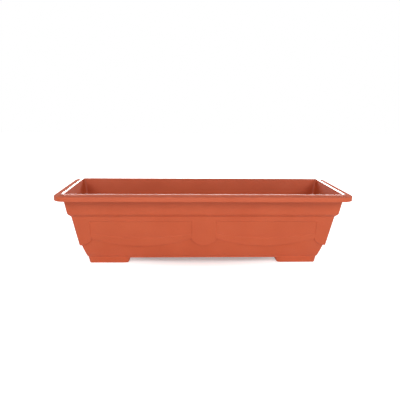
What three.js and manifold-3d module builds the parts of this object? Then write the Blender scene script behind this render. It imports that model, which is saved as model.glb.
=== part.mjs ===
// A plastic window box planter: a moulded trough with a down-turned rim, a frieze, tabs and swags in
// low relief and two long hollow feet, two lift-out false-bottom grids, and four push-in drain plugs.
// Millimetres, +Z up, the front towards -Y, the origin on the ground under the middle of the trough.

import * as THREE from 'three';
import { mergeVertices } from 'three/addons/utils/BufferGeometryUtils.js';
import Module from 'manifold-3d';

// Overall sizes, taken over the rim
const length = 570;
const width = 220;
const height = 150;
const wall = 2;

// Rim
const overhang = 17.1;        // from the lip's outer face in to the top of the frieze
const rimRadius = 23;         // corner of the lip, seen from above
const lipDrop = 9.3;          // height of the lip's outer face
const lipEdge = 1.6;          // rounding along the lip's top edge
const lipToe = 0.5;           // rounding along the lip's bottom edge
const beadWidth = 4.5;        // half-round bead round the mouth
const beadRise = 2.5;         // the bead's height above the lip

// Frieze, the plain band under the rim
const friezeHeight = 29.3;
const friezeBatter = 0.164;   // lean inwards for each mm down
const friezeEdge = 1.2;       // rounding along its bottom edge
const ledge = 5.9;            // step in under the frieze, sloping at 45 degrees

// Skirt, from the ledge down to the base line
const skirtBatter = 0.178;
const bellyHeight = 60;       // above the ground: from here down the skirt curves under
const bellyRadius = 200;
const wallRadius = 4;         // outer corner of the walls, seen from above
const insideRadius = 6;       // inner corner of the walls
const footRadius = 7;         // corner of the base band and of the feet
const floorFillet = 4;        // round between walls and floor, inside

// Relief on the skirt, measured down from the ledge or in from the outermost face, the tabs'
const reliefDepth = 2.5;      // plain skirt under the relief
const panelDepth = 1;         // recessed panels between the tabs
const swagDepth = 0.5;        // swags, between tabs and panels
const headerHeight = 10;      // band over the panels
const tabHalfWidth = 24;
const tabShoulder = 49;       // down to where a tab's round end starts
const tabDrop = 12.6;         // depth of the round end
const swagTop = 35.9;         // down to a swag's upper edge at its ends
const swagTopSag = 9.5;
const swagHem = 45.9;         // down to a swag's lower edge at its ends
const swagHemSag = 17;

// Base and feet
const footHeight = 11.7;      // the floor's underside above the ground
const baseBand = 3.1;         // from that underside up to the base line
const baseStep = 1;           // step in below the base line
const baseEdge = 1.2;
const footLength = 86;        // along the trough, at the top
const footBatter = 0.21;      // lean of the outer faces
const footEndBatter = 0.38;   // lean of the inner end
const footEdge = 2.2;         // rounding round the sole

// Drain holes and their plugs
const holeDiameter = 12;
const holeX = 106;            // places of the holes, from the middle
const holeY = 22;
const plugClearance = 0.3;    // round the stem and over the flange
const plugFlange = 20;
const plugFlangeHeight = 1.6;
const plugRise = 3;           // the stem's end above the floor
const plugWall = 1.6;
const plugBar = 2;            // width of the grip bar across the hollow stem

// False-bottom grids
const gridHeight = 40;        // top of the plate above the ground
const gridPlate = 2;
const gridClearance = 1.2;    // to the walls, and between the two grids
const gridSkirt = 4;          // turned-down edge under the plate
const gridWall = 1.6;
const gridRadius = 6;
const slotWidth = 5;
const slotPitch = 14;
const slotRows = 3;
const slotMargin = 8;         // plain plate between slot ends and along the edge
const slotLand = 3;           // plain plate between a slot and a leg
const legRib = 1.8;           // each leg is two crossed ribs this thick
const legTop = 11;            // from a leg's middle to its ribs' edge, where they leave the plate
const legToe = 8;             // the same at its foot
const legSpacing = 52;        // between legs along the trough
const legOffset = 28;         // first leg from the middle of the trough
const legY = 34;
const seatGap = 0.3;          // a leg's foot to the floor under it

// Levels that follow from these
const lipTop = height - beadRise;
const lipBottom = lipTop - lipDrop;
const friezeBottom = lipBottom - friezeHeight;
const skirtTop = friezeBottom - ledge;
const underLedge = skirtTop - reliefDepth;
const baseLine = footHeight + baseBand;
const floorTop = footHeight + wall;

const terracotta = { color: '#c85e3e', roughness: 0.42, metalness: 0 };
const black = { color: '#2b2b2a', roughness: 0.6, metalness: 0 };

const cornerSteps = 5;
const wasm = await Module();
wasm.setup();

// Solids and meshes

function solid(geometry) {
  const bare = geometry.clone();
  bare.deleteAttribute('normal');
  bare.deleteAttribute('uv');
  const merged = mergeVertices(bare, 1e-4);
  const vertProperties = new Float32Array(merged.attributes.position.array);
  const triVerts = new Uint32Array(merged.index.array);
  return new wasm.Manifold(new wasm.Mesh({ numProp: 3, vertProperties, triVerts }));
}

function geometryOf(body) {
  const mesh = body.getMesh();
  const geometry = new THREE.BufferGeometry();
  geometry.setAttribute('position', new THREE.BufferAttribute(mesh.vertProperties, 3));
  geometry.setIndex(new THREE.BufferAttribute(mesh.triVerts, 1));
  return geometry;
}

function piece(name, body, finish) {
  const flat = geometryOf(body).toNonIndexed();
  flat.computeVertexNormals();
  const mesh = new THREE.Mesh(flat, new THREE.MeshStandardMaterial(finish));
  mesh.name = name;
  return mesh;
}

// A rounded rectangle at height z, anticlockwise from above
function ring(x0, x1, y0, y1, radius, z) {
  const centres = [[x1 - radius, y1 - radius], [x0 + radius, y1 - radius],
    [x0 + radius, y0 + radius], [x1 - radius, y0 + radius]];
  return centres.flatMap(([x, y], quarter) => {
    const points = [];
    for (let i = 0; i <= cornerSteps; i++) {
      const angle = (quarter + i / cornerSteps) * Math.PI / 2;
      points.push([x + radius * Math.cos(angle), y + radius * Math.sin(angle), z]);
    }
    return points;
  });
}

// A ring all round the trough, set back from the lip's outer face
function level(setback, z, radius) {
  const x = length / 2 - setback;
  const y = width / 2 - setback;
  return ring(-x, x, -y, y, radius, z);
}

// A skin through rings, closed by its first and last ring, or joined end to end where it is endless
function loft(rings, endless = false) {
  const n = rings[0].length;
  const index = [];
  for (let j = 0; j < rings.length - (endless ? 0 : 1); j++) {
    const a = j * n;
    const b = ((j + 1) % rings.length) * n;
    for (let i = 0; i < n; i++) {
      const k = (i + 1) % n;
      index.push(a + i, a + k, b + k, a + i, b + k, b + i);
    }
  }
  const last = (rings.length - 1) * n;
  for (let i = 1; i < n - 1 && !endless; i++) {
    index.push(0, i + 1, i, last, last + i, last + i + 1);
  }
  const geometry = new THREE.BufferGeometry();
  geometry.setAttribute('position', new THREE.Float32BufferAttribute(rings.flat(2), 3));
  geometry.setIndex(index);
  return solid(geometry);
}

// Places across the wall: setbacks from the lip's outer face at height z

function frieze(z) {
  return overhang + friezeBatter * (lipBottom - z);
}

function tabFace(z) {
  return frieze(friezeBottom) + ledge + skirtBatter * (skirtTop - z);
}

function skirt(z) {
  const drop = Math.max(0, bellyHeight - z);
  const curl = bellyRadius - Math.sqrt(bellyRadius ** 2 - drop ** 2);
  return tabFace(z) + reliefDepth + curl;
}

const baseFace = skirt(baseLine) + baseStep;
const footEnd = length / 2 - baseFace - footLength;

// Heights at which the skirt's curve is sampled, from low to high
function skirtLevels(low, high) {
  const steps = 4;
  const turn = Math.min(Math.max(bellyHeight, low), high);
  const levels = [high];
  for (let i = 0; i <= steps; i++) {
    levels.push(low + (turn - low) * i / steps);
  }
  return [...new Set(levels)].sort((a, b) => a - b);
}

// Trough

// The whole moulding's section as one skin: up the outside, over the rim, and down the inside
function shell() {
  const band = (setback, z) => level(setback, z, footRadius);
  const outside = (setback, z) => level(setback, z, wallRadius);
  const inside = (setback, z) => level(setback + wall, z, insideRadius);
  const lip = (setback, z) => level(setback, z, rimRadius - setback);
  const rings = [
    band(baseFace + baseEdge, footHeight),
    band(baseFace + baseEdge / 4, footHeight + baseEdge / 3),
    band(baseFace, footHeight + baseEdge),
    band(baseFace, baseLine - baseStep / 2),
    ...skirtLevels(baseLine + baseStep / 2, underLedge).map((z) => outside(skirt(z), z)),
    outside(frieze(friezeBottom) + friezeEdge, friezeBottom - friezeEdge),
    outside(frieze(friezeBottom) + friezeEdge / 5, friezeBottom - friezeEdge / 3),
    outside(frieze(friezeBottom + friezeEdge), friezeBottom + friezeEdge),
    outside(frieze(lipTop - wall), lipTop - wall),
    lip(wall, lipTop - wall),
    lip(wall, lipBottom),
    lip(lipToe, lipBottom),
    lip(0, lipBottom + lipToe),
    lip(0, lipTop - lipEdge),
    lip(lipEdge / 4, lipTop - lipEdge / 3),
    lip(lipEdge, lipTop),
  ];
  const beadMiddle = frieze(lipTop) + wall - beadWidth / 2;
  const beadCorner = insideRadius + beadWidth / 2;
  const beadSteps = 6;
  for (let i = 0; i <= beadSteps; i++) {
    const angle = Math.PI * i / beadSteps;
    const across = -Math.cos(angle) * beadWidth / 2;
    rings.push(level(beadMiddle + across, lipTop + beadRise * Math.sin(angle), beadCorner - across));
  }
  rings.push(
    inside(frieze(friezeBottom), friezeBottom + wall / 2),
    ...skirtLevels(floorTop + floorFillet, underLedge - wall / 2).reverse().map((z) => inside(skirt(z), z)),
  );
  for (const angle of [30, 60, 90].map(THREE.MathUtils.degToRad)) {
    const across = floorFillet * (1 - Math.cos(angle));
    const z = floorTop + floorFillet * (1 - Math.sin(angle));
    const corner = Math.max(insideRadius - across, wall / 4);
    rings.push(level(skirt(floorTop + floorFillet) + wall + across, z, corner));
  }
  return loft(rings);
}

// A sleeve round the skirt whose outer face lies this deep behind the tabs' face
function sleeve(depth) {
  const low = Math.max(baseLine, underLedge - swagHem - swagHemSag);
  const middle = wall / 2;
  const sunk = wall / 3;
  const inner = skirtLevels(low, underLedge - middle).reverse();
  return loft([
    ...skirtLevels(low, skirtTop).map((z) => level(tabFace(z) + depth, z, wallRadius)),
    level(tabFace(skirtTop) + sunk, skirtTop + sunk, wallRadius - middle),
    ...inner.map((z) => level(skirt(z) + middle, z, wallRadius - middle)),
  ], true);
}

// An outline in X and Z pushed through the trough from front to back
function throughDepth(shape) {
  const geometry = new THREE.ExtrudeGeometry(shape, { depth: width, bevelEnabled: false });
  geometry.rotateX(Math.PI / 2).translate(0, width / 2, 0);
  return solid(geometry);
}

// An outline in Y and Z pushed through the trough from end to end
function throughLength(shape) {
  const geometry = new THREE.ExtrudeGeometry(shape, { depth: length, bevelEnabled: false });
  geometry.rotateX(Math.PI / 2).rotateZ(Math.PI / 2).translate(-length / 2, 0, 0);
  return solid(geometry);
}

// Points of the arc through (from, z) and (to, z) that hangs down by sag in its middle
function hangingArc(from, to, z, sag, steps) {
  const half = (to - from) / 2;
  const radius = (half ** 2 + sag ** 2) / (2 * sag);
  const points = [];
  for (let i = 0; i <= steps; i++) {
    const x = -half + 2 * half * i / steps;
    const drop = Math.sqrt(radius ** 2 - x ** 2) - (radius - sag);
    points.push(new THREE.Vector2(from + half + x, z - drop));
  }
  return points;
}

function tabOutline(middle) {
  const edge = hangingArc(middle - tabHalfWidth, middle + tabHalfWidth, skirtTop - tabShoulder, tabDrop, 8);
  const top = skirtTop + wall;
  return new THREE.Shape([...edge, new THREE.Vector2(middle + tabHalfWidth, top),
    new THREE.Vector2(middle - tabHalfWidth, top)]);
}

function panelOutline(from, to, steps) {
  const hem = hangingArc(from, to, skirtTop - swagHem, swagHemSag, steps);
  const top = skirtTop - headerHeight / 2;
  return new THREE.Shape([...hem, new THREE.Vector2(to, top), new THREE.Vector2(from, top)]);
}

function swagOutline(from, to, steps) {
  const hem = hangingArc(from, to, skirtTop - swagHem, swagHemSag, steps);
  const crest = hangingArc(from, to, skirtTop - swagTop, swagTopSag, steps);
  return new THREE.Shape([...hem, ...crest.reverse()]);
}

// Tabs, header band, panels and swags, standing on the skirt
function relief() {
  const tabFoot = skirtTop - tabShoulder - tabDrop;
  const cornerX = length / 2 - tabFace(tabFoot);
  const cornerY = width / 2 - tabFace(tabFoot);
  const header = new THREE.Shape([[-length, -headerHeight], [length, -headerHeight],
    [length, wall], [-length, wall]].map(([x, z]) => new THREE.Vector2(x, skirtTop + z)));
  const cornersX = throughDepth(tabOutline(-cornerX)).add(throughDepth(tabOutline(cornerX)));
  const cornersY = throughLength(tabOutline(-cornerY)).add(throughLength(tabOutline(cornerY)));
  const proud = throughDepth(tabOutline(0)).add(throughDepth(header)).add(cornersX.intersect(cornersY));

  // Panels and swags run on a little under the tabs
  const edge = tabHalfWidth - wall / 2;
  const longSteps = 12;
  const endSteps = 8;
  const between = (outline) => throughDepth(outline(edge, cornerX - edge, longSteps))
    .add(throughDepth(outline(edge - cornerX, -edge, longSteps)))
    .add(throughLength(outline(edge - cornerY, cornerY - edge, endSteps)));
  return sleeve(0).intersect(proud)
    .add(sleeve(panelDepth).intersect(between(panelOutline)))
    .add(sleeve(swagDepth).intersect(between(swagOutline)));
}

// The foot at one end, +1 or -1, grown by this much, from its rounded sole up to a height
function foot(end, grow, low, high) {
  const at = (z, shrink) => {
    const setback = baseFace + footBatter * (floorTop - z) - grow + shrink;
    const y = width / 2 - setback;
    const near = footEnd + footEndBatter * (floorTop - z) - grow + shrink;
    const across = [end * near, end * (length / 2 - setback)].sort((a, b) => a - b);
    return ring(...across, -y, y, footRadius + grow - shrink, z);
  };
  const sole = [90, 60, 30, 0].map(THREE.MathUtils.degToRad)
    .map((angle) => at(low + footEdge * (1 - Math.sin(angle)), footEdge * (1 - Math.cos(angle))));
  return loft([...sole, at(high, 0)]);
}

function drainHole(x, y) {
  const cylinder = new THREE.CylinderGeometry(holeDiameter / 2, holeDiameter / 2, 4 * wall, 16);
  return solid(cylinder.rotateX(Math.PI / 2).translate(x, y, footHeight));
}

function trough() {
  let body = shell().add(relief());
  for (const end of [-1, 1]) {
    const hollow = foot(end, -wall, wall, floorTop + floorFillet);
    body = body.add(foot(end, 0, 0, floorTop - wall / 4)).subtract(hollow);
    body = body.subtract(drainHole(end * holeX, -holeY)).subtract(drainHole(end * holeX, holeY));
  }
  return body;
}

// Drain plugs

function drainPlug() {
  const under = footHeight - plugClearance - plugFlangeHeight;
  const seat = under + plugFlangeHeight;
  const top = floorTop + plugRise;
  const stem = holeDiameter / 2 - plugClearance;
  const bore = stem - plugWall;
  const chamfer = plugWall / 3;
  const profile = [[0, top], [0, top - plugWall], [bore, top - plugWall], [bore, under],
    [plugFlange / 2 - chamfer, under], [plugFlange / 2, under + chamfer], [plugFlange / 2, seat - chamfer],
    [plugFlange / 2 - chamfer, seat], [stem, seat], [stem, top - chamfer], [stem - chamfer, top], [0, top]];
  const lathe = new THREE.LatheGeometry(profile.map(([r, z]) => new THREE.Vector2(r, z)), 12);
  const bar = new THREE.BoxGeometry(2 * bore + plugWall, plugBar, plugFlangeHeight);
  return solid(lathe.rotateX(Math.PI / 2)).add(solid(bar.translate(0, 0, under + plugFlangeHeight / 2)));
}

// Grids

// Setback of the wall's inner face, or of a foot's, at height z
function insideFace(z) {
  return skirt(z) + wall;
}

function legs() {
  const footMiddle = footEnd + footLength / 2;
  const onFloor = [0, 1, 2].map((i) => [legOffset + legSpacing * i, floorTop]);
  return [...onFloor, [footMiddle, wall]].flatMap(([x, floor]) => [[x, legY, floor], [x, -legY, floor]]);
}

// Two crossed ribs that taper from the plate down to just over the floor
function leg(x, y, floor) {
  const low = floor + seatGap;
  const high = gridHeight - gridPlate / 2;
  const outline = new THREE.Shape([[-legToe, low], [legToe, low], [legTop, high], [-legTop, high]]
    .map(([across, z]) => new THREE.Vector2(across, z)));
  const rib = new THREE.ExtrudeGeometry(outline, { depth: legRib, bevelEnabled: false });
  rib.rotateX(Math.PI / 2).translate(0, legRib / 2, 0);
  const crossing = rib.clone().rotateZ(Math.PI / 2);
  return solid(rib.translate(x, y, 0)).add(solid(crossing.translate(x, y, 0)));
}

function slotOutline(x, y, slotLength) {
  const radius = slotWidth / 2;
  const straight = slotLength / 2 - radius;
  const outline = new THREE.Shape();
  outline.absarc(x, y + straight, radius, 0, Math.PI);
  outline.absarc(x, y - straight, radius, Math.PI, 2 * Math.PI);
  return new THREE.Shape(outline.getPoints(4));
}

function grid() {
  const under = gridHeight - gridPlate - gridSkirt;
  const setback = insideFace(under) + gridClearance;
  const x0 = gridClearance / 2;
  const x1 = length / 2 - setback;
  const y1 = width / 2 - setback;
  const plate = loft([ring(x0, x1, -y1, y1, gridRadius, under), ring(x0, x1, -y1, y1, gridRadius, gridHeight)]);
  const low = ring(x0 + gridWall, x1 - gridWall, -y1 + gridWall, y1 - gridWall, gridRadius - gridWall, under - 1);
  const tray = loft([low, low.map(([x, y]) => [x, y, gridHeight - gridPlate])]);

  const slotLength = (2 * (y1 - slotMargin) - (slotRows - 1) * slotMargin) / slotRows;
  const columns = Math.floor((x1 - x0 - 2 * slotMargin - slotWidth) / slotPitch) + 1;
  const reach = legTop + slotLand + slotWidth / 2;
  const slots = [];
  for (let i = 0; i < columns; i++) {
    const x = (x0 + x1) / 2 + (i - (columns - 1) / 2) * slotPitch;
    for (let j = 0; j < slotRows; j++) {
      const y = (j - (slotRows - 1) / 2) * (slotLength + slotMargin);
      const meetsLeg = ([legX, legsY]) => Math.abs(legX - x) < reach
        && Math.abs(legsY - y) < reach + (slotLength - slotWidth) / 2;
      if (!legs().some(meetsLeg)) {
        slots.push(slotOutline(x, y, slotLength));
      }
    }
  }
  const cut = slots
    .map((shape) => new THREE.ExtrudeGeometry(shape, { depth: 3 * gridPlate, bevelEnabled: false }))
    .map((geometry) => solid(geometry.translate(0, 0, gridHeight - 2 * gridPlate)));
  const slotted = cut.reduce((body, slot) => body.subtract(slot), plate.subtract(tray));
  return legs().reduce((body, [x, y, floor]) => body.add(leg(x, y, floor)), slotted);
}

// Assembly

const planter = new THREE.Group();
planter.add(piece('trough', trough(), terracotta));

for (const [side, turn] of [['right', 0], ['left', Math.PI]]) {
  const mesh = piece(`grid_${side}`, grid(), black);
  mesh.rotation.z = turn;
  planter.add(mesh);
}

for (const [depthName, y] of [['front', -holeY], ['back', holeY]]) {
  for (const [sideName, x] of [['left', -holeX], ['right', holeX]]) {
    const mesh = piece(`drain_plug_${depthName}_${sideName}`, drainPlug(), terracotta);
    mesh.position.set(x, y, 0);
    planter.add(mesh);
  }
}

export default planter;
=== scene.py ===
import math

import bmesh
import bpy
from mathutils import Matrix, Vector


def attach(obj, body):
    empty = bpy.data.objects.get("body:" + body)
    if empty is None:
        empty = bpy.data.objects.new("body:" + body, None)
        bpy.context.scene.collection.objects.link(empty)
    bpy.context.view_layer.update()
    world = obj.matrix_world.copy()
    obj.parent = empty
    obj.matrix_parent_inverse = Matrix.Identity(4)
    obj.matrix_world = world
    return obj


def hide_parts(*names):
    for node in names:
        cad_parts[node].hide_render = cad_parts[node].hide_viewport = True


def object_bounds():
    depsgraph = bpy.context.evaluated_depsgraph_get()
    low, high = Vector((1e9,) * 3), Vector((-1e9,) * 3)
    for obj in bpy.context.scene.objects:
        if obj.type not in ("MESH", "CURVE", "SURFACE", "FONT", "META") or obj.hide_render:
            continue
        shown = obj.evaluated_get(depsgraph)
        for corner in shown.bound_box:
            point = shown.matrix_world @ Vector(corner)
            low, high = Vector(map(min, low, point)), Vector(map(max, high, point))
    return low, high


# A plastic window box planter: one moulded trough, two false-bottom grids and four drain plugs.
# Lengths in the settings are millimetres. The front faces -Y and the ground is z = 0.

mm = 0.001
mergeWithin = 1e-6  # metres; points closer than this are one
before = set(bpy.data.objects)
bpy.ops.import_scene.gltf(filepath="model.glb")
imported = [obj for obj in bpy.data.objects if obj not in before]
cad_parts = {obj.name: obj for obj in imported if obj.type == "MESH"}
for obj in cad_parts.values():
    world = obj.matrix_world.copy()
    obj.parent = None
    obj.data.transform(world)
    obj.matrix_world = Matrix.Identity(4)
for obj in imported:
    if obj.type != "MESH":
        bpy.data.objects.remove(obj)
cadLow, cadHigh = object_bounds()
print("frame loaded")


# Small helpers

def smoothStep(low, high, value):
    share = min(max((value - low) / (high - low), 0.0), 1.0)
    return share * share * (3 - 2 * share)


def mix(a, b, share):
    return a + (b - a) * share


def smoothMin(a, b, width):  # the lower of two heights, with a round where they cross
    near = max(width - abs(a - b), 0.0) / width
    return min(a, b) - near * near * width / 4


def evenly(low, high, count):  # count steps up from low; high itself is left to the next call
    return [mix(low, high, i / count) for i in range(count)]


def addObject(name, data):
    thing = bpy.data.objects.new(name, data)
    bpy.context.scene.collection.objects.link(thing)
    return thing


def makePiece(name, mesh, body, nodes, materials):
    piece = addObject(name, mesh)
    for material in materials:
        mesh.materials.append(material)
    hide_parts(*nodes)
    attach(piece, body)
    return piece


# Camera, at the photograph's viewing angle

cameraSet = {
    "place": (-0.0418476, -0.9309214, 0.3170351),  # metres
    "yaw": -2.2303, "pitch": -11.9945, "roll": -0.5478,  # degrees
    "lens": 40.5518, "sensor": 36.0,
    "clip": (0.01, 50.0),  # metres
}


def makeCamera():
    data = bpy.data.cameras.new("camera")
    data.sensor_fit = "HORIZONTAL"
    data.sensor_width = cameraSet["sensor"]
    data.lens = cameraSet["lens"]
    data.clip_start, data.clip_end = cameraSet["clip"]
    camera = addObject("camera", data)
    turn = Matrix.Rotation(math.radians(cameraSet["yaw"]), 4, "Z")
    tilt = Matrix.Rotation(math.radians(90 + cameraSet["pitch"]), 4, "X")
    roll = Matrix.Rotation(math.radians(-cameraSet["roll"]), 4, "Z")
    camera.matrix_world = Matrix.Translation(cameraSet["place"]) @ turn @ tilt @ roll
    bpy.context.scene.camera = camera


makeCamera()
print("camera ready")


# Materials

noiseDetail = 2.0
noiseSpan = (0.3, 0.7)  # nearly all of a noise texture's values lie between these


def toLinear(hexColour):  # "#rrggbb" in sRGB to the linear values that a shader takes
    def channel(value):
        return value / 12.92 if value <= 0.04045 else ((value + 0.055) / 1.055) ** 2.4
    return [channel(int(hexColour[i:i + 2], 16) / 255) for i in (1, 3, 5)] + [1.0]


def addNode(tree, kind, inputs=None, **settings):  # an input is a value or the socket that feeds it
    node = tree.nodes.new(kind)
    for name, value in settings.items():
        setattr(node, name, value)
    for name, value in (inputs or {}).items():
        if isinstance(value, bpy.types.NodeSocket):
            tree.links.new(value, node.inputs[name])
        else:
            node.inputs[name].default_value = value
    return node


def grain(size):  # noise scale for a pattern whose grains are this many mm wide
    return 1000.0 / size


def startMaterial(name):
    material = bpy.data.materials.new(name)
    material.use_nodes = True
    tree = material.node_tree
    tree.nodes.clear()
    place = addNode(tree, "ShaderNodeTexCoord").outputs["Object"]
    return material, tree, place


def finishMaterial(material, surface):
    addNode(material.node_tree, "ShaderNodeOutputMaterial", {"Surface": surface})
    return material


def blotches(tree, place, size, span, detail=noiseDetail):  # noise of this grain, over this span
    noise = addNode(tree, "ShaderNodeTexNoise", {
        "Vector": place, "Scale": grain(size), "Detail": detail})
    spread = addNode(tree, "ShaderNodeMapRange", {
        "Value": noise.outputs["Fac"], "From Min": noiseSpan[0], "From Max": noiseSpan[1],
        "To Min": span[0], "To Max": span[1]})
    return spread.outputs["Result"]


def tint(tree, share, first, second):  # each colour is a hex value or the socket that feeds it
    blend = addNode(tree, "ShaderNodeMix", {"Factor": share}, data_type="RGBA")
    for name, colour in (("A", first), ("B", second)):
        socket = [i for i in blend.inputs if i.name == name and i.type == "RGBA"][0]
        if isinstance(colour, bpy.types.NodeSocket):
            tree.links.new(colour, socket)
        else:
            socket.default_value = toLinear(colour)
    return [o for o in blend.outputs if o.type == "RGBA"][0]


def bumps(tree, place, layers):  # moulded texture: layers of (grain, height), one over the other
    normal = None
    for size, height in layers:
        noise = addNode(tree, "ShaderNodeTexNoise", {
            "Vector": place, "Scale": grain(size), "Detail": noiseDetail})
        inputs = {"Height": noise.outputs["Fac"], "Distance": height * mm, "Strength": 1.0}
        if normal:
            inputs["Normal"] = normal
        normal = addNode(tree, "ShaderNodeBump", inputs).outputs["Normal"]
    return normal


def plastic(tree, place, look, inputs):  # a moulded plastic, with what else its shader needs
    moulded = {"IOR": look["ior"], "Normal": bumps(tree, place, look["texture"])}
    return addNode(tree, "ShaderNodeBsdfPrincipled", {**moulded, **inputs}).outputs["BSDF"]


# Trough

trough = {
    "wall": 2.0,
    # Rim: the lip, the bead and the rounds on their edges
    "overhang": 17.1, "rimRadius": 23.0, "lipDrop": 9.3, "lipEdge": 1.6, "lipToe": 0.7,
    "underLip": 1.2, "beadWidth": 4.5, "beadRise": 2.5, "beadFoot": 0.5,
    # Frieze, and the ledge under it. A batter is a lean inwards for each mm down
    "friezeHeight": 29.3, "friezeBatter": 0.164, "friezeEdge": 1.5,
    "ledge": 5.9, "ledgeFoot": 0.8, "ledgeLead": 1.0,
    # Skirt, which curves in below the belly's height
    "skirtBatter": 0.178, "bellyHeight": 60.0, "bellyRadius": 200.0,
    # Corners seen from above, and rounds on the inside
    "wallRadius": 4.0, "insideRadius": 6.0, "footRadius": 7.0, "leastRadius": 0.8,
    "floorFillet": 4.0, "insideRound": 2.0,
    # Relief: depths behind the tabs' face, and heights down from the skirt's top
    "reliefDepth": 2.5, "panelDepth": 1.0, "swagDepth": 0.5, "headerHeight": 10.0,
    "tabHalfWidth": 24.0, "tabShoulder": 49.0, "tabDrop": 12.6,
    "swagTop": 35.9, "swagTopSag": 9.5, "swagHem": 45.9, "swagHemSag": 17.0,
    "edgeHalf": 0.3,  # half the width of a moulded edge of the relief
    # Base band, feet and the wells inside them
    "footHeight": 11.7, "baseBand": 3.1, "baseStep": 1.0, "baseEdge": 1.2,
    "footLength": 86.0, "footBatter": 0.21, "footEndBatter": 0.38, "footEdge": 2.2,
    "wellRadius": 6.0, "wellEdge": 1.6, "rootRound": 0.6,
    # Drain holes, each in a square block of the floor's grid
    "holeRadius": 6.0, "holeX": 106.0, "holeY": 22.0, "holeEdge": 0.4, "holeMargin": 10.0,
}
skin = {  # how finely the trough's skin is divided
    "edgeZone": 1.1,  # close stations for this far to each side of a tab's upright edge
    "footZone": (-1.8, 10.2),  # and between these distances past a foot's inner end
    "edgeStations": 6, "holeStations": 8, "spreadStations": 6, "arcStations": 5,
    "hemRows": 12, "crestRows": 5, "headerRows": 9, "edgeRows": 6, "ledgeRows": 2,
    "beadRows": 14, "bellyRows": 12,
    # Rings of the underside and of the floor, by their distance in from its outline
    "baseRings": (6, 5.2, 4.6, 4.1, 3.6, 3.1, 2.75, 2.4, 2, 1.6, 1.2, 0.8, 0.45, 0.2, 0),
    "floorRings": (0, 0.35, 0.8, 1.4, 2, 2.4, 2.9, 3.4, 3.9, 4.3, 4.55, 4.9, 5.3, 5.9),
    "holeRings": (0.35, 0.7),  # shares of the way from a hole's block to its round edge
    "leanPasses": 10,
}
halfLong = (cadHigh.x - cadLow.x) / 2 / mm
halfDeep = (cadHigh.y - cadLow.y) / 2 / mm
lipTop = cadHigh.z / mm - trough["beadRise"]
lipBottom = lipTop - trough["lipDrop"]
friezeBottom = lipBottom - trough["friezeHeight"]
skirtTop = friezeBottom - trough["ledge"]
skirtEnd = skirtTop - trough["ledgeFoot"] - trough["ledgeLead"]  # the skirt's last row
baseLine = trough["footHeight"] + trough["baseBand"]
floorTop = trough["footHeight"] + trough["wall"]


# Setbacks from the lip's outer face, at a height

def friezeFace(z):
    return trough["overhang"] + trough["friezeBatter"] * (lipBottom - z)


def tabFace(z):
    return friezeFace(friezeBottom) + trough["ledge"] + trough["skirtBatter"] * (skirtTop - z)


def bellyCurl(z):
    drop = max(0.0, trough["bellyHeight"] - z)
    return trough["bellyRadius"] - math.sqrt(trough["bellyRadius"] ** 2 - drop ** 2)


def skirtFace(z):
    return tabFace(z) + trough["reliefDepth"] + bellyCurl(z)


def arcDrop(offset, half, sag):  # how far an arc hangs down at this offset from its middle
    radius = (half ** 2 + sag ** 2) / (2 * sag)
    offset = min(abs(offset), half)
    return math.sqrt(radius ** 2 - offset ** 2) - (radius - sag)


def tabEnd(offset):  # height of a tab's round lower end
    drop = arcDrop(offset, trough["tabHalfWidth"], trough["tabDrop"])
    return skirtTop - trough["tabShoulder"] - drop


baseFace = skirtFace(baseLine) + trough["baseStep"]
footEnd = halfLong - baseFace - trough["footLength"]
cornerX = halfLong - tabFace(tabEnd(0))  # middles of the corner tabs
cornerY = halfDeep - tabFace(tabEnd(0))


# Stations along half a side, from its middle: fixed places up to the corner tab's edge, then places
# that spread with the corner, then steps round the first half of the corner
def halfSide(breaks):
    places, low = [], 0.0
    for high, count in breaks:
        places += evenly(low, high, count)
        low = high
    places.append(low)
    spread, arc = skin["spreadStations"], skin["arcStations"]
    stations = [("fixed", place) for place in places]
    stations += [("spread", (i + 1) / spread) for i in range(spread)]
    stations += [("arc", math.pi / 4 * (i + 1) / arc) for i in range(arc)]
    return stations


def wholeSide(half):  # a station is (kind, place, -1 or 1 for its half of the side)
    return ([(kind, place, -1) for kind, place in reversed(half[1:])]
            + [(*station, 1) for station in half])


tabEdge = trough["tabHalfWidth"]
longEdge = cornerX - tabEdge
deepEdge = cornerY - tabEdge
margin = trough["holeMargin"]
zone = skin["edgeZone"]
edgeStations, holeStations = skin["edgeStations"], skin["holeStations"]
footNear, footFar = [footEnd + distance for distance in skin["footZone"]]
longSide = wholeSide(halfSide([  # each place with the number of steps that lead to it
    (tabEdge - zone, 8), (tabEdge + zone, edgeStations),
    (trough["holeX"] - margin, 28), (trough["holeX"] + margin, holeStations),
    (footNear, 12), (footFar, 20), (longEdge - zone, 26), (longEdge + zone, edgeStations)]))
deepSide = wholeSide(halfSide([
    (trough["holeY"] - margin, 4), (trough["holeY"] + margin, holeStations),
    (deepEdge - zone, 6), (deepEdge + zone, edgeStations)]))
columns = []  # (side, station), anticlockwise from above, from the front left corner
for side, stations in enumerate((longSide, deepSide, longSide, deepSide)):
    columns += [(side, station) for station in stations[:-1]]


# X and Y of a station at this setback, with the corner's centre this far in from the box
def spot(side, station, setback, centreIn):
    kind, place, sign = station
    centreIn = max(centreIn, setback + trough["leastRadius"])
    main, cross = (halfLong, halfDeep) if side % 2 == 0 else (halfDeep, halfLong)
    radius = centreIn - setback
    along, out = place, cross - setback
    if kind == "spread":
        lastFixed = (longEdge if side % 2 == 0 else deepEdge) + zone
        along = mix(lastFixed, main - centreIn, place)
    if kind == "arc":
        along = main - centreIn + radius * math.sin(place)
        out = cross - centreIn + radius * math.cos(place)
    along *= sign
    return ((along, -out), (out, along), (-along, out), (-out, -along))[side]


# Relief: the heights of its edges on a column, and its depth behind the tabs' face

def pastEdge(distance):  # 0 before an edge of the relief, 1 past it, and the moulded slope between
    return smoothStep(-trough["edgeHalf"], trough["edgeHalf"], distance)


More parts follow.
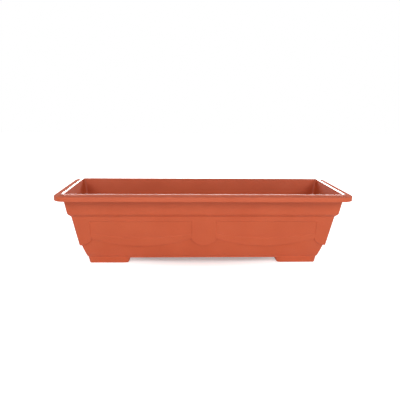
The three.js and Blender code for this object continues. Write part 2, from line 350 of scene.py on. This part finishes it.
def swagHeights(long, along):
    half = deepEdge + trough["wall"] / 2
    middle = 0.0
    if long:
        half = (longEdge - tabEdge + trough["wall"]) / 2
        middle = (longEdge + tabEdge) / 2
    hem = skirtTop - trough["swagHem"] - arcDrop(along - middle, half, trough["swagHemSag"])
    crest = skirtTop - trough["swagTop"] - arcDrop(along - middle, half, trough["swagTopSag"])
    return hem, crest


# Heights of the swag's hem and crest and of the tab's end on a column, and the share that is tab
def reliefOn(side, station):
    long = side % 2 == 0
    tabLow = tabEnd(0)
    for _ in range(skin["leanPasses"]):  # the wall leans, so the place depends on the height
        x, y = spot(side, station, tabFace(tabLow), tabFace(tabLow) + trough["wallRadius"])
        along = abs(x) if long else abs(y)
        if long and along < (tabEdge + longEdge) / 2:
            tabLow = tabEnd(along)
        else:
            tabLow = max(tabEnd(abs(x) - cornerX), tabEnd(abs(y) - cornerY))
    inTab = along - (longEdge if long else deepEdge)
    if long:
        inTab = max(inTab, tabEdge - along)
    hem, crest = swagHeights(long, along)
    return hem, crest, tabLow, pastEdge(inTab)


def reliefDepth(relief, z):
    hem, crest, tabLow, tabShare = relief
    bare = trough["reliefDepth"] + bellyCurl(z)
    between = mix(bare, trough["swagDepth"], pastEdge(z - hem))
    between = mix(between, trough["panelDepth"], pastEdge(z - crest))
    between = mix(between, 0.0, pastEdge(z - (skirtTop - trough["headerHeight"])))
    return mix(between, mix(bare, 0.0, pastEdge(z - tabLow)), tabShare)


# Heights of the skirt's rows on one column: the same number on each, gathered at the edges
def skirtRows(relief):
    hem, crest, tabLow, tabShare = relief
    edges = [(mix(hem, tabLow, tabShare), skin["hemRows"]), (crest, skin["crestRows"]),
             (skirtTop - trough["headerHeight"], skin["headerRows"])]
    near = 2 * trough["edgeHalf"]
    rows, low = [], baseLine + trough["baseStep"] / 2
    for edge, count in edges:
        rows += evenly(low, edge - near, count)
        rows += evenly(edge - near, edge + near, skin["edgeRows"])
        low = edge + near
    return rows + evenly(low, skirtEnd, skin["ledgeRows"])


# Underside and floor, as heights over the plan. inward is the distance in from the outline's edge

def slopeTo(depth, top, bottom, toe):  # a foot's leaning side, with a round of radius toe below
    batter = trough["footBatter"]
    run = (top - bottom) * batter
    lean = math.atan2(1, batter)
    tangent = toe * math.tan(lean / 2)
    if depth < run - tangent * math.cos(lean):
        return top - depth / batter
    if depth < run + tangent:
        return bottom + toe - math.sqrt(toe ** 2 - (run + tangent - depth) ** 2)
    return bottom


def footDepth(x, inward, near, radius):  # how far inside a foot's outline, whose corners are round
    along = (abs(x) - near) * trough["footBatter"] / trough["footEndBatter"]
    if along < radius and inward < radius:
        return radius - math.hypot(radius - along, radius - inward)
    return min(along, inward)


def filletRise(inward, radius):
    return radius - math.sqrt(radius ** 2 - min(max(radius - inward, 0.0), radius) ** 2)


def undersideHeight(x, inward):
    top = trough["footHeight"] + trough["baseEdge"]
    near = footEnd + trough["footEndBatter"] * (floorTop - top)
    depth = footDepth(x, inward, near, trough["footRadius"])
    foot = slopeTo(depth, top, 0.0, trough["footEdge"])
    base = trough["footHeight"] + filletRise(inward, trough["baseEdge"])
    return smoothMin(base, foot, trough["rootRound"])


floorSetback = skirtFace(floorTop + trough["floorFillet"]) + trough["wall"]  # the fillet's edge
wellSetback = baseFace + trough["wall"]


def floorHeight(x, inward):
    near = footEnd + trough["wall"]
    depth = footDepth(x, inward - (wellSetback - floorSetback), near, trough["wellRadius"])
    well = slopeTo(depth, floorTop, trough["wall"], trough["wellEdge"])
    floor = floorTop + filletRise(inward, trough["floorFillet"])
    return smoothMin(floor, well, trough["rootRound"])


# Points along a bent line whose corners are rounded off, each from as far as its last value
def roundedPath(corners, spacing=5.0, roundSteps=5):
    points = [Vector(corners[0][:3])]
    for i in range(1, len(corners)):
        corner, cut = Vector(corners[i][:3]), corners[i][3]
        back = (points[-1] - corner).length
        enter = corner + (points[-1] - corner) * min(cut / back, 1)
        straight = max(1, round((points[-1] - enter).length / spacing))
        points += [points[-1].lerp(enter, (k + 1) / straight) for k in range(straight)]
        if i + 1 < len(corners) and cut:
            leave = corner + (Vector(corners[i + 1][:3]) - corner).normalized() * cut
            for k in range(1, roundSteps + 1):
                share = k / roundSteps
                points.append(enter.lerp(corner, share).lerp(corner.lerp(leave, share), share))
    return [tuple(p) for p in points]


# Sections are corners as (setback, height, the corner centre's distance in, rounding)

def outside(setback, z, cut=0.0):  # a corner on the walls' outer face
    return (setback, z, setback + trough["wallRadius"], cut)


def inside(setback, z, cut=0.0):  # a corner on the inner face, from the outer face's setback
    innerSetback = setback + trough["wall"]
    return (innerSetback, z, innerSetback + trough["insideRadius"], cut)


def rimSection():  # from the skirt's end up, over the rim and down to the floor's fillet
    wall, rimRadius = trough["wall"], trough["rimRadius"]
    beadHalf = trough["beadWidth"] / 2
    beadMiddle = friezeFace(lipTop) + wall - beadHalf
    beadCentre = friezeFace(lipTop) + wall + trough["insideRadius"]
    up = roundedPath([
        outside(tabFace(skirtEnd), skirtEnd),
        outside(tabFace(skirtTop), skirtTop, trough["ledgeFoot"]),
        outside(friezeFace(friezeBottom), friezeBottom, trough["friezeEdge"]),
        outside(friezeFace(lipTop - wall), lipTop - wall, trough["underLip"]),
        (wall, lipTop - wall, rimRadius, trough["underLip"]),
        (wall, lipBottom, rimRadius, trough["lipToe"]),
        (0.0, lipBottom, rimRadius, trough["lipToe"]),
        (0.0, lipTop, rimRadius, trough["lipEdge"]),
        (beadMiddle - beadHalf - trough["beadFoot"], lipTop, beadCentre, 0.0),
    ])
    for i in range(1, skin["beadRows"] + 1):
        angle = math.pi * i / skin["beadRows"]
        z = lipTop + trough["beadRise"] * math.sin(angle)
        up.append((beadMiddle - math.cos(angle) * beadHalf, z, beadCentre))
    under = skirtTop - trough["reliefDepth"] - wall / 2
    down = roundedPath([
        (friezeFace(lipTop) + wall, lipTop, beadCentre, 0.0),
        inside(friezeFace(friezeBottom), friezeBottom + wall / 2, trough["insideRound"]),
        inside(skirtFace(under), under, trough["insideRound"]),
        inside(skirtFace(trough["bellyHeight"]), trough["bellyHeight"]),
    ])
    low = floorTop + trough["floorFillet"]
    levels = evenly(trough["bellyHeight"], low, skin["bellyRows"])[1:]
    return up + down[1:] + [inside(skirtFace(z), z)[:3] for z in levels]


def sectionRings(section):  # a ring for each point of a section
    return [[(*spot(*column, setback, centre), z) for column in columns]
            for setback, z, centre in section]


def planRings(distances, setback, centre, heightAt):  # rings of the underside or of the floor
    return [[(x, y, heightAt(x, inward))
             for x, y in (spot(*column, setback + inward, centre) for column in columns)]
            for inward in distances]


def skirtRings():
    reliefs = [reliefOn(*column) for column in columns]
    heights = [skirtRows(relief) for relief in reliefs]
    rings = []
    for row in range(1, len(heights[0])):  # the base band's last ring stands for row 0
        ring = []
        for column, relief, rows in zip(columns, reliefs, heights):
            z = rows[row]
            setback = tabFace(z) + reliefDepth(relief, z)
            ring.append((*spot(*column, setback, setback + trough["wallRadius"]), z))
        rings.append(ring)
    return rings


# All the rings of the skin, from the underside out, up, over the rim and down to the floor
def troughRings():
    step = trough["baseStep"]
    baseCentre = baseFace + trough["footRadius"]
    floorCentre = floorSetback + trough["insideRadius"]
    band = roundedPath([
        (baseFace, baseLine - step, baseCentre, 0),
        (baseFace, baseLine - step / 2, baseCentre, step / 4),
        outside(skirtFace(baseLine + step / 2), baseLine + step / 2, step / 4),
    ], roundSteps=3)
    return (planRings(skin["baseRings"], baseFace, baseCentre, undersideHeight)
            + sectionRings(band) + skirtRings() + sectionRings(rimSection())
            + planRings(skin["floorRings"], floorSetback, floorCentre, floorHeight))


def joinLoops(faces, a, b, up=True):  # faces between two loops, turned over where up is false
    for k in range(len(a)):
        n = (k + 1) % len(a)
        corners = (a[k], a[n], b[n], b[k])
        faces.append(corners if up else corners[::-1])


# The underside and the floor are closed by a grid, countX by countY faces, with the last ring round
# it. Each drain hole takes up a block of this grid

countX, countY = len(longSide) - 1, len(deepSide) - 1
holeBlocks = []  # (hole's middle x and y, the block's first column and row)
for signX in (-1, 1):
    for signY in (-1, 1):
        firstColumn = longSide.index(("fixed", trough["holeX"] - signX * margin, signX))
        firstRow = deepSide.index(("fixed", trough["holeY"] - signY * margin, signY))
        holeBlocks.append((signX * trough["holeX"], signY * trough["holeY"], firstColumn, firstRow))


def inBlock(i, j, rim):  # whether a place in the grid lies this deep inside a hole's block
    return any(i0 + rim <= i <= i0 + holeStations - rim and j0 + rim <= j <= j0 + holeStations - rim
               for _, _, i0, j0 in holeBlocks)


def cornerShare(station):  # 0 at a corner, a half along the straight, 1 at the other corner
    kind, place, sign = station
    share = place / (math.pi / 4) / 2 if kind == "arc" else 0.0
    return 0.5 + sign * share


def ringInGrid(ring):  # a ring's points by their places in the grid
    firsts = (0, countX, countX + countY, 2 * countX + countY)
    ids = {}
    for k, index in enumerate(ring):
        side = sum(k >= first for first in firsts[1:])
        step = k - firsts[side]
        places = ((step, 0), (countX, step), (countX - step, countY), (0, countY - step))
        ids[places[side]] = index
    return ids


def gridPlace(points, ids, i, j):  # X and Y inside the grid, blended from the ring round it
    def edge(i, j):
        return Vector(points[ids[(i, j)]][:2])

    stationX, stationY = longSide[i], deepSide[j]
    u, v = cornerShare(stationX), cornerShare(stationY)
    across = edge(0, j).lerp(edge(countX, j), u)
    along = edge(i, 0).lerp(edge(i, countY), v)
    front = edge(0, 0).lerp(edge(countX, 0), u)
    back = edge(0, countY).lerp(edge(countX, countY), u)
    x, y = across + along - front.lerp(back, v)
    x = stationX[1] * stationX[2] if stationX[0] == "fixed" else x
    y = stationY[1] * stationY[2] if stationY[0] == "fixed" else y
    return x, y


# Fills a block of the grid from its rim in to the hole. Gives the hole's last circle
def holeEdge(points, faces, ids, block, level, up):
    centreX, centreY, i0, j0 = block
    i1, j1 = i0 + holeStations, j0 + holeStations
    rim = [(i, j0) for i in range(i0, i1)] + [(i1, j) for j in range(j0, j1)]
    rim += [(i, j1) for i in range(i1, i0, -1)] + [(i0, j) for j in range(j1, j0, -1)]
    outer = [ids[place] for place in rim]
    edge, radius = trough["holeEdge"], trough["holeRadius"]
    rounds = [(radius + edge, level)]
    for angle in (math.radians(45), math.radians(90)):
        drop = edge * (1 - math.cos(angle))
        rounds.append((radius + edge * (1 - math.sin(angle)), level - drop if up else level + drop))
    starts = [Vector(points[index]) for index in outer]
    spokes = [math.atan2(p.y - centreY, p.x - centreX) for p in starts]
    circles = [[(centreX + r * math.cos(a), centreY + r * math.sin(a), z) for a in spokes]
               for r, z in rounds]
    between = [[tuple(p.lerp(Vector(c), share)) for p, c in zip(starts, circles[0])]
               for share in skin["holeRings"]]
    for ring in between + circles:
        inner = list(range(len(points), len(points) + len(ring)))
        points += ring
        joinLoops(faces, outer, inner, up)
        outer = inner
    return outer


# Fills a ring with the grid and leaves the drain holes open in it. Gives each hole's last circle
def fillCap(points, faces, ring, setback, heightAt, level, up):
    ids = ringInGrid(ring)
    for i in range(1, countX):
        for j in range(1, countY):
            if inBlock(i, j, 1):
                continue
            x, y = gridPlace(points, ids, i, j)
            inward = min(halfLong - setback - abs(x), halfDeep - setback - abs(y))
            ids[(i, j)] = len(points)
            points.append((x, y, heightAt(x, inward)))
    for i in range(countX):
        for j in range(countY):
            if not inBlock(i + 0.5, j + 0.5, 0):
                corners = (ids[(i, j)], ids[(i + 1, j)], ids[(i + 1, j + 1)], ids[(i, j + 1)])
                faces.append(corners if up else corners[::-1])
    return [holeEdge(points, faces, ids, block, level, up) for block in holeBlocks]


def makeTrough(materials):
    points, faces, loops = [], [], []
    for ring in troughRings():
        loops.append(list(range(len(points), len(points) + len(ring))))
        points += ring
    for a, b in zip(loops, loops[1:]):
        joinLoops(faces, a, b)
    under = fillCap(points, faces, loops[0], baseFace, undersideHeight, trough["footHeight"], False)
    floor = fillCap(points, faces, loops[-1], floorSetback, floorHeight, floorTop, True)
    for above, below in zip(floor, under):
        joinLoops(faces, above, below)
    mesh = bpy.data.meshes.new("trough_moulding")
    mesh.from_pydata([tuple(v * mm for v in p) for p in points], [], faces)
    mesh.validate()
    mesh.shade_smooth()
    return makePiece("trough_moulding", mesh, "trough", ["trough"],
                     materials)


# Polypropylene coloured like terracotta, injection moulded in a spark-eroded tool: an even
# orange-brown with faint flow clouds, a satin wall, a dull flat land round the mouth, and a bead
# that the tool and hands have polished.
terracottaSet = {
    "colour": "#c3542c", "ior": 1.49,
    "cloud": "#c95a32", "cloudSize": 70.0, "cloudShare": (0.0, 1.0),
    "speck": "#b54c28", "speckSize": 1.2, "speckShare": (-0.6, 0.35),
    "roughness": (0.52, 0.6), "smearSize": 25.0,
    "landGloss": 0.95, "beadGloss": 0.16, "landEdge": 0.3,
    "texture": ((0.9, 0.012), (45.0, 0.25)),  # the eroded skin is finer; 0.9 mm is what still shows
}


def terracottaPolypropylene():
    look = terracottaSet
    edge = look["landEdge"]
    material, tree, place = startMaterial("terracottaPolypropylene")
    clouds = blotches(tree, place, look["cloudSize"], look["cloudShare"])
    specks = blotches(tree, place, look["speckSize"], look["speckShare"])
    colour = tint(tree, specks, tint(tree, clouds, look["colour"], look["cloud"]), look["speck"])
    height = addNode(tree, "ShaderNodeSeparateXYZ", {"Vector": place}).outputs["Z"]
    roughness = blotches(tree, place, look["smearSize"], look["roughness"])
    for gloss, low in ((look["landGloss"], -edge), (look["beadGloss"], edge)):
        roughness = addNode(tree, "ShaderNodeMapRange", {
            "Value": height, "From Min": (lipTop + low) * mm,
            "From Max": (lipTop + low + edge / 2) * mm,
            "To Min": roughness, "To Max": gloss}).outputs["Result"]
    polish = addNode(tree, "ShaderNodeMath", {0: height, 1: (lipTop + edge) * mm},
                     operation="GREATER_THAN").outputs[0]
    return finishMaterial(material, plastic(tree, place, look, {
        "Base Color": colour, "Roughness": roughness,
        "Coat Weight": polish, "Coat Roughness": look["beadGloss"]}))


troughPiece = makeTrough([terracottaPolypropylene()])
print("trough done,", len(troughPiece.data.polygons), "faces")


# Grids

grid = {
    "top": 40.0, "plate": 2.0, "clearance": 1.2, "skirt": 4.0, "wall": 1.6, "corner": 6.0,
    "slotWidth": 5.0, "slotPitch": 14.0, "slotRows": 3, "slotMargin": 8.0, "slotLand": 3.0,
    "legRib": 1.8, "legTop": 11.0, "legToe": 8.0, "legY": 34.0, "seatGap": 0.3,
    "legSpacing": 52.0, "legOffset": 28.0, "floorLegs": 3,  # on each side of the grid's middle line
    "edge": 0.3,
    "overcut": 1.0,  # how far the hollow's cutter runs on below the skirt
}


def roundedRectangle(x0, x1, y0, y1, radius, steps=8):
    corners = ((x1, y1, 1, 1), (x0, y1, -1, 1), (x0, y0, -1, -1), (x1, y0, 1, -1))
    outline = []
    for quarter, (x, y, signX, signY) in enumerate(corners):
        for i in range(steps + 1):
            angle = (quarter + i / steps) * math.pi / 2
            outline.append((x - signX * radius + radius * math.cos(angle),
                            y - signY * radius + radius * math.sin(angle)))
    return outline


def slotOutline(x, y, length, width, steps=10):
    half, radius = length / 2 - width / 2, width / 2
    ends = [(math.pi * i / steps, half) for i in range(steps + 1)]
    ends += [(math.pi * (1 + i / steps), -half) for i in range(steps + 1)]
    return [(x + radius * math.cos(angle), y + shift + radius * math.sin(angle))
            for angle, shift in ends]


def crossOutline(x, y, reach, z):  # two crossed ribs, seen from above
    rib = grid["legRib"] / 2
    arm, outline = [(reach, -rib), (reach, rib), (rib, rib)], []
    for _ in range(4):
        outline += arm
        arm = [(-armY, armX) for armX, armY in arm]
    return [(x + armX, y + armY, z) for armX, armY in outline]


def fromBmesh(name, bm):
    mesh = bpy.data.meshes.new(name)
    bm.to_mesh(mesh)
    bm.free()
    return mesh


def addPrism(bm, low, high):  # closes two matching outlines, (x, y, z) in mm, into a solid
    a = [bm.verts.new(Vector(p) * mm) for p in low]
    b = [bm.verts.new(Vector(p) * mm) for p in high]
    for k in range(len(a)):
        n = (k + 1) % len(a)
        bm.faces.new((a[k], a[n], b[n], b[k]))
    bm.faces.new(a[::-1])
    bm.faces.new(b)


def sheetWithHoles(outline, holes, low, high):  # a plate of this outline between two heights
    curve = bpy.data.curves.new("plate", "CURVE")
    curve.dimensions = "2D"
    curve.fill_mode = "BOTH"
    curve.extrude = (high - low) / 2 * mm
    for loop in [outline, *holes]:
        spline = curve.splines.new("POLY")
        spline.points.add(len(loop) - 1)
        spline.use_cyclic_u = True
        for point, (x, y) in zip(spline.points, loop):
            point.co = (x * mm, y * mm, 0, 1)
    shape = bpy.data.objects.new("plate", curve)
    bm = bmesh.new()
    bm.from_mesh(shape.to_mesh())
    shape.to_mesh_clear()
    bpy.data.objects.remove(shape)
    bmesh.ops.remove_doubles(bm, verts=bm.verts, dist=mergeWithin)
    bmesh.ops.dissolve_degenerate(bm, dist=mergeWithin, edges=bm.edges)
    bmesh.ops.recalc_face_normals(bm, faces=bm.faces)
    bmesh.ops.translate(bm, verts=bm.verts, vec=(0, 0, (low + high) / 2 * mm))
    return bm


def evaluated(piece):  # a piece's mesh with its modifiers applied
    graph = bpy.context.evaluated_depsgraph_get()
    return bpy.data.meshes.new_from_object(piece.evaluated_get(graph))


# A mesh with others added to it or cut from it, as one solid with rounded edges. Angles in degrees
def joined(name, first, steps, edge, segments=2, flatWithin=1, sharpFrom=35):
    piece = addObject(name, first)
    for operation, mesh in steps:
        tool = addObject(name + "_tool", mesh)
        step = piece.modifiers.new("step", "BOOLEAN")
        step.operation, step.solver, step.object = operation, "EXACT", tool
        solid = evaluated(piece)
        piece.modifiers.clear()
        piece.data = solid
        bpy.data.objects.remove(tool)
    bm = bmesh.new()
    bm.from_mesh(piece.data)
    bmesh.ops.remove_doubles(bm, verts=bm.verts, dist=mergeWithin)
    bmesh.ops.dissolve_limit(bm, angle_limit=math.radians(flatWithin), verts=bm.verts,
                             edges=bm.edges)
    bm.to_mesh(piece.data)
    bm.free()
    piece.data.shade_smooth()
    bevel = piece.modifiers.new("edges", "BEVEL")
    bevel.width, bevel.segments, bevel.limit_method = edge * mm, segments, "ANGLE"
    bevel.angle_limit = math.radians(sharpFrom)
    bevel.use_clamp_overlap = True
    normals = piece.modifiers.new("flats", "WEIGHTED_NORMAL")
    normals.weight = 100  # keeps flats flat beside their rounds
    mesh = evaluated(piece)
    bpy.data.objects.remove(piece)
    mesh.name = name
    return mesh


def gridLegs():  # (x, y, height of what the leg stands on)
    legs = [(grid["legOffset"] + grid["legSpacing"] * i, floorTop)
            for i in range(grid["floorLegs"])]
    legs.append((footEnd + trough["footLength"] / 2, trough["wall"]))
    return [(x, sign * grid["legY"], low) for x, low in legs for sign in (-1, 1)]


def gridSlots(x0, x1, y1, legs):  # rows of slots, except where a leg stands
    rows, gap, width = grid["slotRows"], grid["slotMargin"], grid["slotWidth"]
    length = (2 * (y1 - gap) - (rows - 1) * gap) / rows
    count = math.floor((x1 - x0 - 2 * gap - width) / grid["slotPitch"]) + 1
    reach = grid["legTop"] + grid["slotLand"] + width / 2
    slots = []
    for i in range(count):
        x = (x0 + x1) / 2 + (i - (count - 1) / 2) * grid["slotPitch"]
        for j in range(rows):
            y = (j - (rows - 1) / 2) * (length + gap)
            if not any(abs(legX - x) < reach and abs(legY - y) < reach + (length - width) / 2
                       for legX, legY, _ in legs):
                slots.append(slotOutline(x, y, length, width))
    return slots


def gridMesh(name, turn):
    top, wall = grid["top"], grid["wall"]
    plateUnder = top - grid["plate"]
    skirtUnder = plateUnder - grid["skirt"]
    setback = skirtFace(skirtUnder) + trough["wall"] + grid["clearance"]
    x0, x1, y1 = grid["clearance"] / 2, halfLong - setback, halfDeep - setback
    legs = gridLegs()
    outer = roundedRectangle(x0, x1, -y1, y1, grid["corner"])
    inner = roundedRectangle(x0 + wall, x1 - wall, wall - y1, y1 - wall, grid["corner"] - wall)
    plate = sheetWithHoles(outer, gridSlots(x0, x1, y1, legs), skirtUnder, top)
    hollow = sheetWithHoles(inner, [], skirtUnder - grid["overcut"], plateUnder)
    standing = bmesh.new()
    for x, y, low in legs:
        foot = crossOutline(x, y, grid["legToe"], low + grid["seatGap"])
        head = crossOutline(x, y, grid["legTop"], top - grid["plate"] / 2)
        addPrism(standing, foot, head)
    steps = [("DIFFERENCE", fromBmesh(name, hollow)), ("UNION", fromBmesh(name, standing))]
    mesh = joined(name, fromBmesh(name, plate), steps, grid["edge"])
    mesh.transform(Matrix.Rotation(turn, 4, "Z"))
    return mesh


# Black polypropylene with much reground stock: nearly black, a dull moulded skin with pale scuffs.
blackSet = {
    "colour": "#252524", "ior": 1.49,
    "scuff": "#3a3937", "scuffSize": 9.0, "scuffShare": (-0.5, 0.6), "scuffDetail": 6.0,
    "roughness": (0.48, 0.62), "smearSize": 14.0, "texture": ((0.8, 0.02),),
}


def blackPolypropylene():
    look = blackSet
    material, tree, place = startMaterial("blackPolypropylene")
    scuffs = blotches(tree, place, look["scuffSize"], look["scuffShare"], look["scuffDetail"])
    return finishMaterial(material, plastic(tree, place, look, {
        "Base Color": tint(tree, scuffs, look["colour"], look["scuff"]),
        "Roughness": blotches(tree, place, look["smearSize"], look["roughness"])}))


black = blackPolypropylene()
for side, turn in (("right", 0.0), ("left", math.pi)):
    name, node = f"grid_plate_{side}", f"grid_{side}"
    mesh = gridMesh(name, turn)
    makePiece(name, mesh, node, [node], [black])
    print("grid", side, "done,", len(mesh.polygons), "faces")


# Drain plugs

plug = {
    "clearance": 0.3, "flange": 20.0, "flangeHeight": 1.6, "rise": 3.0, "wall": 1.6, "bar": 2.0,
    "edge": 0.45, "barEdge": 0.25,
    "steps": 64,  # round the plug
}


def turned(path, steps):  # a path of (radius, height) in mm, turned about the upright axis
    bm = bmesh.new()
    angles = [2 * math.pi * i / steps for i in range(steps)]
    loops = []
    for radius, z, _ in path:
        if radius * mm < mergeWithin:
            loops.append([bm.verts.new((0, 0, z * mm))] * steps)
            continue
        loops.append([bm.verts.new((radius * mm * math.cos(a), radius * mm * math.sin(a), z * mm))
                      for a in angles])
    for a, b in zip(loops, loops[1:]):
        for i in range(steps):
            n = (i + 1) % steps
            corners = dict.fromkeys((a[i], a[n], b[n], b[i]))  # once each, where they meet
            if len(corners) > 2:
                bm.faces.new(corners)
    bmesh.ops.recalc_face_normals(bm, faces=bm.faces)
    return bm


def plugMesh(name, x, y):
    under = trough["footHeight"] - plug["clearance"] - plug["flangeHeight"]
    seat = under + plug["flangeHeight"]
    top = floorTop + plug["rise"]
    stem = trough["holeRadius"] - plug["clearance"]
    bore = stem - plug["wall"]
    flange = plug["flange"] / 2
    edge = plug["edge"]
    body = turned(roundedPath([
        (0.0, top - plug["wall"], 0, 0), (bore, top - plug["wall"], 0, edge),
        (bore, under, 0, edge), (flange, under, 0, edge), (flange, seat, 0, edge),
        (stem, seat, 0, edge / 2), (stem, top, 0, 2 * edge), (0.0, top, 0, 0),
    ], spacing=2.5, roundSteps=4), plug["steps"])
    bar = bmesh.new()
    endX, endY = bore + plug["wall"] / 2, plug["bar"] / 2
    corners = [(-endX, -endY), (endX, -endY), (endX, endY), (-endX, endY)]
    addPrism(bar, [(*c, under) for c in corners], [(*c, seat) for c in corners])
    mesh = joined(name, fromBmesh(name, body), [("UNION", fromBmesh(name, bar))], plug["barEdge"])
    mesh.transform(Matrix.Translation((x * mm, y * mm, 0)))
    return mesh


# Soft polyethylene in the trough's colour: it can squeeze into the hole, and looks waxier and
# duller.
softSet = {
    "colour": "#b9502f", "cloud": "#c25b39", "cloudSize": 6.0, "cloudShare": (0.0, 1.0),
    "ior": 1.51, "scatter": 0.1, "scatterDepth": 1.0,
    "roughness": (0.45, 0.55), "smearSize": 4.0, "texture": ((0.7, 0.015),),
}


def softPolyethylene():
    look = softSet
    material, tree, place = startMaterial("softPolyethylene")
    clouds = blotches(tree, place, look["cloudSize"], look["cloudShare"])
    return finishMaterial(material, plastic(tree, place, look, {
        "Base Color": tint(tree, clouds, look["colour"], look["cloud"]),
        "Roughness": blotches(tree, place, look["smearSize"], look["roughness"]),
        "Subsurface Weight": look["scatter"], "Subsurface Scale": look["scatterDepth"] * mm}))


soft = softPolyethylene()
for depthName, y in (("front", -trough["holeY"]), ("back", trough["holeY"])):
    for sideName, x in (("left", -trough["holeX"]), ("right", trough["holeX"])):
        node = f"drain_plug_{depthName}_{sideName}"
        name = f"plug_{depthName}_{sideName}"
        makePiece(name, plugMesh(name, x, y), node, [node], [soft])
print("plugs done")


# Floor, world and lamps

stageSet = {
    "floorSize": 8.0, "floorColour": "#f0f0f0", "ambient": 0.14,
    # The paper glows white to camera and mirror rays. Near the trough that glow is lowered to paint
    # a shadow under and round it, and it rises to full between these distances from the middle, in
    # metres across the trough. Along the trough the distances count for less
    "paintedShadowGlow": 0.33, "glowFar": 0.9, "glowFrom": 0.05, "glowTo": 0.108, "stretch": 0.36,
}
lamps = {  # place, aim and size in metres
    "back": {"place": (0.03, 1.6, 0.74), "aim": (0.0, 0.0, 0.1), "size": (1.7, 0.5), "watts": 28.0},
    "left": {"place": (-0.9, -1.05, 0.82), "aim": (0.0, 0.0, 0.08), "size": (0.7, 0.6),
             "watts": 7.0},
    "right": {"place": (0.95, -1.0, 0.82), "aim": (0.0, 0.0, 0.08), "size": (0.7, 0.6),
              "watts": 8.2},
    "low": {"place": (0.0, -1.5, 0.18), "aim": (0.0, 0.0, 0.08), "size": (1.4, 0.32), "watts": 5.0},
}


def seenDirectly(tree):  # 1 for rays from the camera, off a mirror or through glass
    path = addNode(tree, "ShaderNodeLightPath").outputs
    seen = path["Is Camera Ray"]
    for other in ("Is Glossy Ray", "Is Transmission Ray"):
        seen = addNode(tree, "ShaderNodeMath", {0: seen, 1: path[other]},
                       operation="MAXIMUM").outputs[0]
    return seen


def makeWorld():
    world = bpy.data.worlds.new("studio")
    world.use_nodes = True
    tree = world.node_tree
    tree.nodes.clear()
    strength = addNode(tree, "ShaderNodeMapRange", {
        "Value": seenDirectly(tree), "To Min": stageSet["ambient"], "To Max": 1.0})
    white = addNode(tree, "ShaderNodeBackground", {
        "Color": (1, 1, 1, 1), "Strength": strength.outputs["Result"]})
    addNode(tree, "ShaderNodeOutputWorld", {"Surface": white.outputs[0]})
    bpy.context.scene.world = world


def paperFloor():  # matt white background paper
    material, tree, place = startMaterial("backgroundPaper")
    across = addNode(tree, "ShaderNodeVectorMath", {0: place, 1: (stageSet["stretch"], 1.0, 1.0)},
                     operation="MULTIPLY").outputs["Vector"]
    away = addNode(tree, "ShaderNodeVectorMath", {0: across}, operation="LENGTH").outputs["Value"]
    # painted shadow: the paper's glow is turned down close to the trough, which darkens the floor
    # under it
    glow = addNode(tree, "ShaderNodeMapRange", {
        "Value": away, "From Min": stageSet["glowFrom"], "From Max": stageSet["glowTo"],
        "To Min": stageSet["paintedShadowGlow"], "To Max": stageSet["glowFar"]}).outputs["Result"]
    shown = addNode(tree, "ShaderNodeMath", {0: glow, 1: seenDirectly(tree)},
                    operation="MULTIPLY").outputs[0]
    colour = toLinear(stageSet["floorColour"])
    paper = addNode(tree, "ShaderNodeBsdfDiffuse", {"Color": colour}).outputs[0]
    light = addNode(tree, "ShaderNodeEmission", {"Strength": shown}).outputs[0]
    both = addNode(tree, "ShaderNodeAddShader", {0: paper, 1: light})
    return finishMaterial(material, both.outputs[0])


def makeFloor():
    half = stageSet["floorSize"] / 2
    corners = [(-half, -half, 0), (half, -half, 0), (half, half, 0), (-half, half, 0)]
    mesh = bpy.data.meshes.new("floor")
    mesh.from_pydata(corners, [], [(0, 1, 2, 3)])
    mesh.materials.append(paperFloor())
    floor = addObject("floor", mesh)


def makeLamps():
    for name, lamp in lamps.items():
        data = bpy.data.lights.new(name, "AREA")
        data.shape = "RECTANGLE"
        data.size, data.size_y = lamp["size"]
        data.energy = lamp["watts"]
        light = addObject(name, data)
        light.location = lamp["place"]
        aim = Vector(lamp["aim"]) - Vector(lamp["place"])
        light.rotation_euler = aim.to_track_quat("-Z", "Y").to_euler()


makeWorld()
makeFloor()
makeLamps()
bpy.context.scene.view_settings.view_transform = "Standard"
print("stage done")
